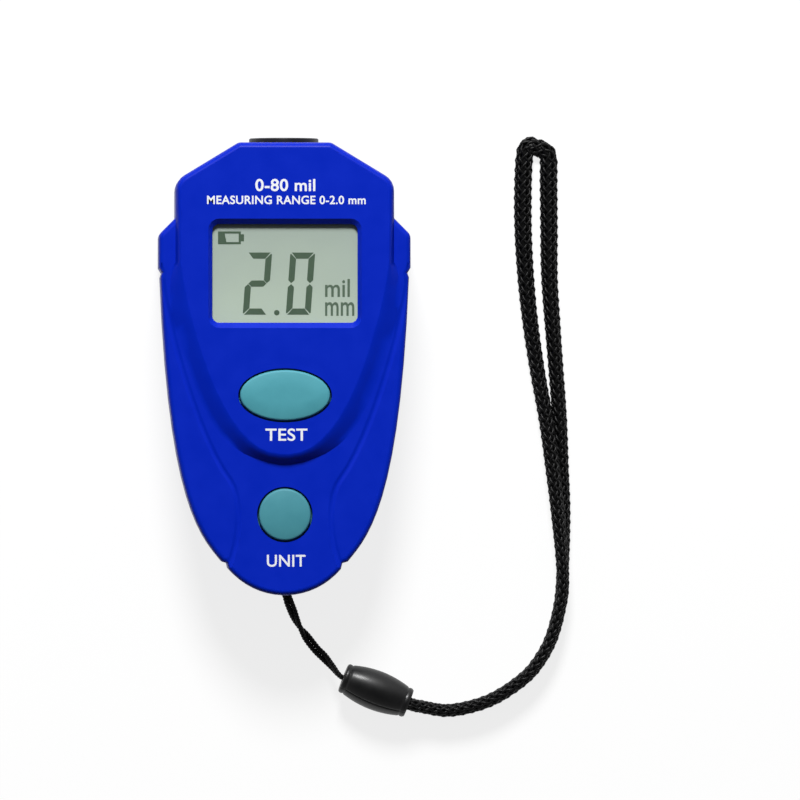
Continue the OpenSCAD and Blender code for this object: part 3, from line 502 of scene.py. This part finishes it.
loop_cord, loop_path = braid(
    "thin_cord", spaced(loop_route(), LOOP_LEAD / LOOP_TURN_STEPS), lead=LOOP_LEAD, yarns=4, radius=0.38,
    weave=0.05, yarn=0.2, core=0.4, width=lambda point: 1.0)
strap_cord, strap_path = braid(
    "strap", spaced(strap_route(), STRAP_LEAD / STRAP_TURN_STEPS), lead=STRAP_LEAD, yarns=6, radius=1.02,
    weave=0.12, yarn=0.39, core=0.95, width=strap_width)
bead_pieces = [
    dressed("bead_upper", "bead_top_half", bead_abs, "gauge", edge=0.18, joint=BEAD_JOINT),
    dressed("bead_lower", "bead_bottom_half", bead_abs, "gauge", edge=0.18, joint=BEAD_JOINT),
]
for piece, node, path, leaves, thick, pieces in (
    (loop_cord, "lanyard_loop", loop_path, (0, TIP_Y, SLOT_MIDDLE), CORD_D, bead_pieces),
    (strap_cord, "lanyard_strap", strap_path, in_bead(BEAD_LEN / 2, 0), STRAP_D, ()),
):
    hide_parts(node)
    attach(piece, "gauge")

# Covers, door, keys and probe keep their CAD shapes, with broken edges

for node, name, material, body, edge, slot, joint in (
    ("front_cover", "front_shell", case_abs, "gauge", 0.14, "case", COVER_JOINT),
    ("rear_cover", "rear_shell", case_abs, "gauge", 0.14, "case", COVER_JOINT),
    ("battery_door", "door_panel", case_abs, "door", 0.14, "case", None),
    ("test_key", "test_key_cap", key_silicone, "test_button", 0.12, "keys", None),
    # The round key takes the copy of the silicone that is painted a shade darker
    ("unit_key", "unit_key_cap", shaded_key_silicone, "unit_button", 0.12, "keys", None),
    ("probe_sleeve", "probe_tube", probe_acetal, "gauge", 0.12, "probe", None),
):
    dressed(node, name, material, body, edge, joint)

# Inner nodes keep their CAD solids and get their finishes

for node, material in {
    "display_window": pane_acrylic, "lcd_panel": lcd_glass, "lcd_holder": inner_abs,
    "zebra_strips": zebra_rubber, "circuit_board": board_mask, "controller_chip": chip_epoxy,
    "amplifier_chip": chip_epoxy, "smoothing_capacitor": can_sleeve, "crystal_can": nickel,
    "test_switch": inner_abs, "unit_switch": inner_abs, "test_plunger": chip_epoxy,
    "unit_plunger": chip_epoxy, "probe_core": core_ferrite, "probe_bobbin": bobbin_nylon,
    "probe_coil": coil_copper, "probe_leads": lead_pvc, "cell_left": cell_film, "cell_right": cell_film,
    "cell_bridge": nickel, "positive_contact": nickel, "negative_contact": nickel,
    "cell_spring_left": nickel, "cell_spring_right": nickel, "case_screws": zinc, "board_screws": zinc,
}.items():
    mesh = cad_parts[node].data
    mesh.materials.clear()
    mesh.materials.append(material)


# Display marks and prints: thin films, sunk a little in the surface under them. In mm, but letters come in the
# unit of their font

FILM = 0.03
SUNK = 0.01
LETTER_HALF = 0.5
LETTER_WELD = 1e-5
ROUND_STEP = 15


def film(name, outlines, z, material, rim=None):
    """Flat shapes laid on the surface at height z, as one piece, or only a rim of each."""
    shape = bmesh.new()
    for outline in outlines:
        face = shape.faces.new([shape.verts.new(Vector((x, y, z - SUNK)) * MM) for x, y in outline])
        flat = [face]
        if rim:
            flat = bmesh.ops.inset_individual(shape, faces=[face], thickness=rim * MM)["faces"]
            bmesh.ops.delete(shape, geom=[face], context="FACES_ONLY")
        raised = bmesh.ops.extrude_face_region(shape, geom=flat)["geom"]
        corners = [v for v in raised if isinstance(v, bmesh.types.BMVert)]
        bmesh.ops.translate(shape, verts=corners, vec=(0, 0, FILM * MM))
    bmesh.ops.recalc_face_normals(shape, faces=shape.faces)
    mesh = bpy.data.meshes.new(name)
    shape.to_mesh(mesh)
    shape.free()
    mesh.materials.append(material)
    piece = bpy.data.objects.new(name, mesh)
    scene.collection.objects.link(piece)
    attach(piece, "gauge")
    return piece


def words(name, text, box, z, material, weight, spacing=1.0):
    """Letters made to fill a box of left, bottom, right and top, laid on the surface at height z."""
    curve = bpy.data.curves.new(name, "FONT")
    curve.body = text
    curve.extrude = LETTER_HALF
    curve.offset = weight
    curve.space_character = spacing
    curve.resolution_u = 5
    holder = bpy.data.objects.new(name, curve)
    scene.collection.objects.link(holder)
    mesh = bpy.data.meshes.new_from_object(holder)
    bpy.data.objects.remove(holder)
    shape = bmesh.new()
    shape.from_mesh(mesh)
    bmesh.ops.remove_doubles(shape, verts=shape.verts, dist=LETTER_WELD)
    xs = [v.co.x for v in shape.verts]
    ys = [v.co.y for v in shape.verts]
    left, bottom, right, top = box
    wide = (right - left) / (max(xs) - min(xs))
    tall = (top - bottom) / (max(ys) - min(ys))
    for v in shape.verts:
        v.co = Vector((
            left + (v.co.x - min(xs)) * wide,
            bottom + (v.co.y - min(ys)) * tall,
            z - SUNK + (v.co.z / LETTER_HALF + 1) / 2 * FILM,
        )) * MM
    shape.to_mesh(mesh)
    shape.free()
    mesh.materials.clear()
    mesh.materials.append(material)
    piece = bpy.data.objects.new(name, mesh)
    scene.collection.objects.link(piece)
    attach(piece, "gauge")
    return piece


def rounded_box(left, bottom, right, top, r):
    """Outline of a box with round corners."""
    turns = ((right - r, top - r, 0), (left + r, top - r, 90),
             (left + r, bottom + r, 180), (right - r, bottom + r, 270))
    return [(x + r * math.cos(math.radians(turn + a)), y + r * math.sin(math.radians(turn + a)))
            for x, y, turn in turns for a in range(0, 91, ROUND_STEP)]


DIGIT_W = 5.6
DIGIT_H = 14.0
DIGIT_LEAN = 0.074
BAR = 1.4
SPLIT = 0.07
CORNER = 0.25


def digit(left, bottom, bars):
    """Outlines of a leaning digit's bars: a to g, clockwise from the top, the middle last."""
    w, h, m, t, s, c = DIGIT_W, DIGIT_H, DIGIT_H / 2, BAR, SPLIT, CORNER
    upper_right = ((w, h - 1.2 * c - s), (w, m + t / 2 + s), (w - t / 2, m + 1.4 * s), (w - t, m + t / 2 + s),
                   (w - t, h - t - s), (w - c, h - c - s))
    shapes = {
        "a": ((c + s, h), (w - c - s, h), (w - t - s, h - t), (t + s, h - t)),
        "b": upper_right,
        "g": ((t / 2 + s, m), (t + s, m + t / 2), (w - t - s, m + t / 2), (w - t / 2 - s, m),
              (w - t - s, m - t / 2), (t + s, m - t / 2)),
    }
    shapes["c"] = tuple((x, h - y) for x, y in reversed(upper_right))
    shapes["d"] = tuple((x, h - y) for x, y in reversed(shapes["a"]))
    shapes["e"] = tuple((w - x, y) for x, y in reversed(shapes["c"]))
    shapes["f"] = tuple((w - x, y) for x, y in reversed(shapes["b"]))
    return [[(left + x + DIGIT_LEAN * y, bottom + y) for x, y in shapes[bar]] for bar in bars]


DIGITS_Y = 11.65
UNITS_X = -9.5
TENTHS_X = 0.2
POINT = (-1.82, 12.1)
POINT_R = 0.62
POINT_SIDES = 20
marks = digit(UNITS_X, DIGITS_Y, "abged") + digit(TENTHS_X, DIGITS_Y, "abcdef")
marks.append([(POINT[0] + POINT_R * math.cos(a), POINT[1] + POINT_R * math.sin(a))
              for a in (math.tau * i / POINT_SIDES for i in range(POINT_SIDES))])
digits = film("display_digits", marks, GLASS_Z, crystal_dark)

# Low battery mark: outline, slanting fill and button
CELL_MARK = (-15.05, 27.5, -9.9, 30.4)
LINE = 0.5
FILL_FOOT, FILL_HEAD, SLANT = 2.0, 1.4, 0.1
BUTTON, SHOULDER = 0.7, 0.65
x0, y0, x1, y1 = CELL_MARK
cell_mark = film("display_battery_mark", [
    [(x0, y0), (x0 + FILL_FOOT, y0), (x0 + FILL_HEAD, y1), (x0, y1)],
    [(x0 + FILL_FOOT, y0), (x1, y0), (x1, y0 + LINE), (x0 + FILL_FOOT - SLANT, y0 + LINE)],
    [(x0 + FILL_HEAD + SLANT, y1 - LINE), (x1, y1 - LINE), (x1, y1), (x0 + FILL_HEAD, y1)],
    [(x1 - LINE, y0 + LINE), (x1, y0 + LINE), (x1, y1 - LINE), (x1 - LINE, y1 - LINE)],
    [(x1, y0 + SHOULDER), (x1 + BUTTON, y0 + SHOULDER), (x1 + BUTTON, y1 - SHOULDER), (x1, y1 - SHOULDER)],
], GLASS_Z, crystal_dark)

# Unit marks, with their boxes
UNIT_WEIGHT = 0.012
UNIT_SPACE = 1.02
unit_marks = [words(name, text, box, GLASS_Z, crystal_pale, UNIT_WEIGHT, UNIT_SPACE) for name, text, box in (
    ("display_unit_mil", "mil", (9.05, 15.65, 14.65, 19.7)),
    ("display_unit_mm", "mm", (9.05, 11.4, 15.65, 14.5)),
)]

# The pale edge of the panel's paper shows along the opening
OPENING = (-16.35, 9.85, 16.35, 32.05)
OPENING_R = 1.5
PAPER_EDGE = 0.3
HIDDEN = 0.3
edge_line = film("display_paper_edge", [rounded_box(
    OPENING[0] - HIDDEN, OPENING[1] - HIDDEN, OPENING[2] + HIDDEN, OPENING[3] + HIDDEN, OPENING_R + HIDDEN,
)], GLASS_Z, paper_pale, HIDDEN + PAPER_EDGE)

# Legends: middle, width and height, the surface that they are printed on, and how bold they are
PRINT_SPACE = 1.05
for name, text, centre, size, z, weight in (
    ("print_range_imperial", "0-80 mil", (0.05, 40.8), (13.5, 2.8), FACE_Z, 0.02),
    ("print_range_metric", "MEASURING RANGE 0-2.0 mm", (0.3, 37.45), (35.7, 1.95), FACE_Z, 0.02),
    ("print_test", "TEST", (0.3, -15.35), (9.45, 2.8), FACE_Z, 0.014),
    ("print_unit", "UNIT", (0.3, -43.75), (8.7, 2.7), DECK_Z, 0.014),
):
    (x, y), (w, h) = centre, size
    box = (x - w / 2, y - h / 2, x + w / 2, y + h / 2)
    words(name, text, box, z, print_ink, weight, PRINT_SPACE)

# Studio: a pale floor that keeps the shadow, and one soft lamp past the probe end. In metres

FLOOR_HALF = 6.0
FLOOR_DROP = 0.2 * MM
FLOOR_GREY = 0.2
FLOOR_LIFT = 0.82
floor_mesh = bpy.data.meshes.new("floor")
floor_shape = bmesh.new()
bmesh.ops.create_grid(floor_shape, x_segments=1, y_segments=1, size=FLOOR_HALF)
bmesh.ops.translate(floor_shape, verts=floor_shape.verts, vec=(0, 0, -FLOOR_DROP))
floor_shape.to_mesh(floor_mesh)
floor_shape.free()
floor = bpy.data.objects.new("floor", floor_mesh)
scene.collection.objects.link(floor)

# Paper, matte white: lit by the lamp, and lifted to white where it is seen, also in gloss and through the pane
paper = bpy.data.materials.new("paper_matte_white")
paper.use_nodes = True
paper.node_tree.nodes.clear()
rays = add(paper, "LightPath")
seen = add(paper, "Math", {0: rays.outputs["Is Camera Ray"], 1: rays.outputs["Is Glossy Ray"]},
           operation="MAXIMUM")
shown = add(paper, "Math", {0: seen.outputs[0], 1: rays.outputs["Is Transmission Ray"]}, operation="MAXIMUM")
lift = add(paper, "Math", {0: shown.outputs[0], 1: FLOOR_LIFT}, operation="MULTIPLY")
matte = add(paper, "BsdfDiffuse", {"Color": (FLOOR_GREY, FLOOR_GREY, FLOOR_GREY, 1)})
glow = add(paper, "Emission", {"Color": (1, 1, 1, 1), "Strength": lift.outputs[0]})
both = add(paper, "AddShader", {0: matte.outputs[0], 1: glow.outputs[0]})
add(paper, "OutputMaterial", {"Surface": both.outputs[0]})
floor_mesh.materials.append(paper)

# Sky: white to the camera, soft light that grows towards the probe end for the object, and in its gloss a wall
# that is bright past the probe end under a dim roof. Ranges go from two places along an axis to two strengths
world = bpy.data.worlds.new("studio")
scene.world = world
world.use_nodes = True
world.node_tree.nodes.clear()
sky_rays = add(world, "LightPath")
sky_mirrored = add(world, "Math", {
    0: sky_rays.outputs["Is Glossy Ray"], 1: sky_rays.outputs["Is Transmission Ray"]}, operation="MAXIMUM")
sky_axes = add(world, "SeparateXYZ", {0: add(world, "TexCoord").outputs["Generated"]})
sky_soft = add(world, "MapRange", {0: sky_axes.outputs[1], 1: -0.15, 2: 1.0, 3: 0.03, 4: 0.34})
sky_wall = add(world, "MapRange", {0: sky_axes.outputs[1], 1: -1.0, 2: 1.0, 3: 0.4, 4: 1.0})
sky_roof = add(world, "MapRange", {0: sky_axes.outputs[2], 1: 0.3, 2: 0.9, 3: 1.0, 4: 0.11})
sky_gloss = add(world, "Math", {0: sky_wall.outputs[0], 1: sky_roof.outputs[0]}, operation="MULTIPLY")
sky_lit = add(world, "Mix", {0: sky_mirrored.outputs[0], 2: sky_soft.outputs[0], 3: sky_gloss.outputs[0]},
              data_type="FLOAT")
sky_level = add(world, "Mix", {0: sky_rays.outputs["Is Camera Ray"], 2: sky_lit.outputs[0], 3: 1.0},
                data_type="FLOAT")
sky = add(world, "Background", {"Color": (1, 1, 1, 1), "Strength": sky_level.outputs[0]})
add(world, "OutputWorld", {"Surface": sky.outputs[0]})

LAMP_PLACE = Vector((-0.06, 1.0, 0.885))
LAMP_AIM = Vector((0.01, -0.01, 0.02))
LAMP_SIZE = 0.4
LAMP_POWER = 23.6
light = bpy.data.lights.new("lamp_head", "AREA")
light.shape = "DISK"
light.size = LAMP_SIZE
light.energy = LAMP_POWER
lamp = bpy.data.objects.new("lamp_head", light)
lamp.location = LAMP_PLACE
lamp.rotation_euler = (LAMP_AIM - LAMP_PLACE).to_track_quat("-Z", "Y").to_euler()
scene.collection.objects.link(lamp)
